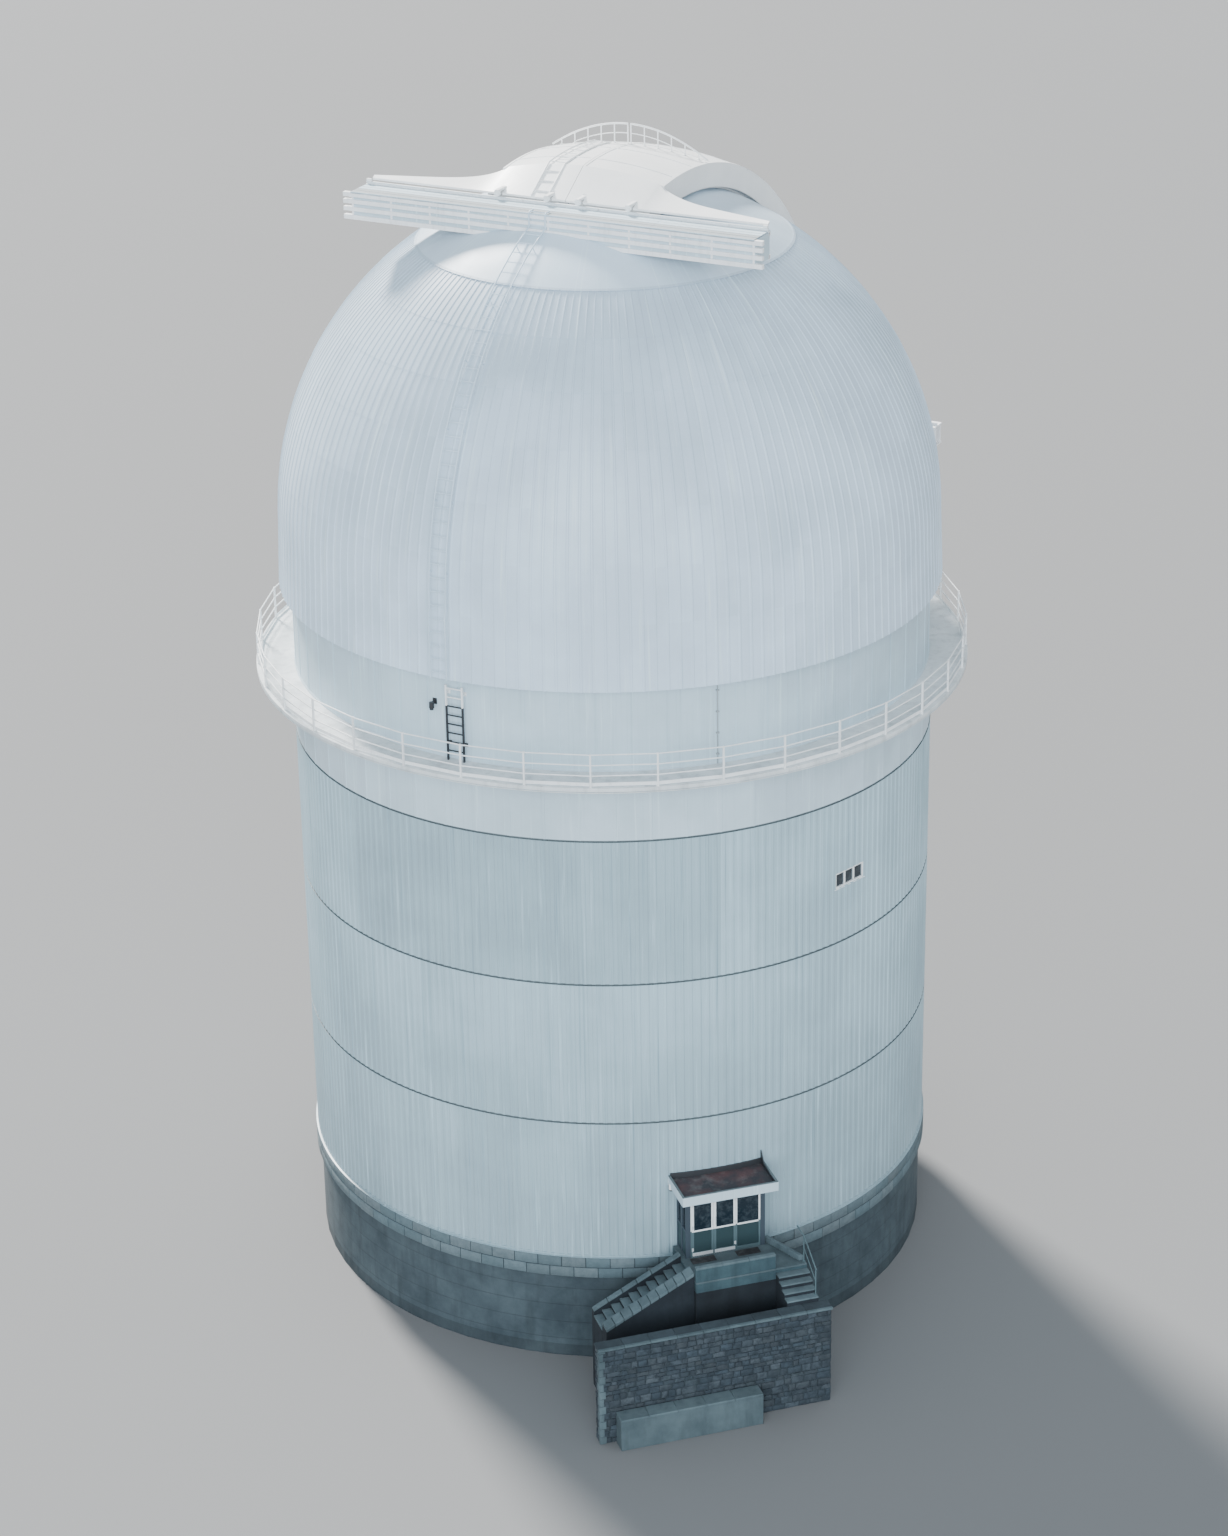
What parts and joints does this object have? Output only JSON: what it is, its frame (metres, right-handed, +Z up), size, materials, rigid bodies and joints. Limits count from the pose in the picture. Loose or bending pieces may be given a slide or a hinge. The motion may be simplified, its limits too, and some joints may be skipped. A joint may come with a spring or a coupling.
{
  "type": "observatory dome on a round tower",
  "caption": "Tall round observatory tower with a turning hemispherical dome, parting slit shutters on beams, a railed gallery, and an entrance porch with doors, landing and stairs.",
  "frame": {"origin": "on the tower's axis, at the underside of the foundation raft, which is the lowest ground level", "axes": "+Z up along the tower's axis; the side that faces the camera is -Y, with the entrance porch 17 degrees to its right; +X is to the right seen from there"},
  "size_m": [21.8, 27.2525, 35.4153],
  "materials": {
    "concrete": "matte",
    "white_sheet": "satin",
    "light_paint": "satin",
    "galvanised": "matte",
    "black_paint": "satin",
    "roof_felt": "matte",
    "cement_render": "matte",
    "rubble": "matte",
    "window_glass": "gloss"
  },
  "bodies": {
    "tower": {"foundation_raft": "concrete", "wall_segment_1": "concrete", "wall_segment_2": "concrete", "wall_segment_3": "concrete", "wall_segment_4": "concrete", "wall_over_entrance": "concrete", "wall_below_entrance": "concrete", "ground_floor": "concrete", "upper_floor": "concrete", "observing_floor": "concrete", "lower_cladding": "white_sheet", "middle_cladding": "white_sheet", "upper_cladding": "white_sheet", "porch_left_wall": "white_sheet", "porch_right_wall": "white_sheet", "porch_fascia": "white_sheet", "entrance_frame": "white_sheet", "gallery_band": "light_paint", "gallery_deck": "light_paint", "gallery_railing_right": "galvanised", "gallery_railing_left": "galvanised", "azimuth_rail": "galvanised", "stair_handrail": "galvanised", "window_frame": "galvanised", "gallery_ladder": "black_paint", "porch_roof": "roof_felt", "landing": "cement_render", "left_stair": "cement_render", "left_stair_parapet": "cement_render", "left_stair_kerb": "cement_render", "landing_parapet": "cement_render", "right_stair": "cement_render", "plinth_band": "rubble", "stone_base": "rubble", "window_glass": "window_glass", "entrance_sidelight": "window_glass"},
    "dome": {"dome_gore_1": "white_sheet", "dome_gore_2": "white_sheet", "dome_gore_3": "white_sheet", "dome_gore_4": "white_sheet", "dome_crown": "white_sheet", "dome_base_ring": "galvanised", "slit_coaming": "white_sheet", "upper_beam": "light_paint", "lower_beam": "light_paint", "dome_ladder": "light_paint"},
    "right_shutter": {"right_shutter": "white_sheet", "right_hood": "white_sheet", "right_crest_rail": "galvanised"},
    "left_shutter": {"left_shutter": "white_sheet", "left_hood": "white_sheet", "left_crest_rail": "galvanised"},
    "left_door": {"left_door_leaf": "white_sheet"},
    "right_door": {"right_door_leaf": "white_sheet"}
  },
  "joints": [
    {"name": "dome_rotation", "type": "hinge", "parent": "tower", "child": "dome", "pos_m": [0, 0, 22.42], "axis": [0, 0, 1], "continuous": true},
    {"name": "right_shutter_slide", "type": "slide", "parent": "dome", "child": "right_shutter", "axis": [0.891, -0.454, 0], "range_m": [0, 2.4]},
    {"name": "left_shutter_slide", "type": "slide", "parent": "dome", "child": "left_shutter", "axis": [-0.891, 0.454, 0], "range_m": [0, 2.4]},
    {"name": "left_door_hinge", "type": "hinge", "parent": "tower", "child": "left_door", "pos_m": [2.09738, -10.45837, 4.97], "axis": [0, 0, -1], "range_deg": [0, 100]},
    {"name": "right_door_hinge", "type": "hinge", "parent": "tower", "child": "right_door", "pos_m": [3.40178, -10.05958, 4.97], "axis": [0, 0, 1], "range_deg": [0, 100]}
  ]
}
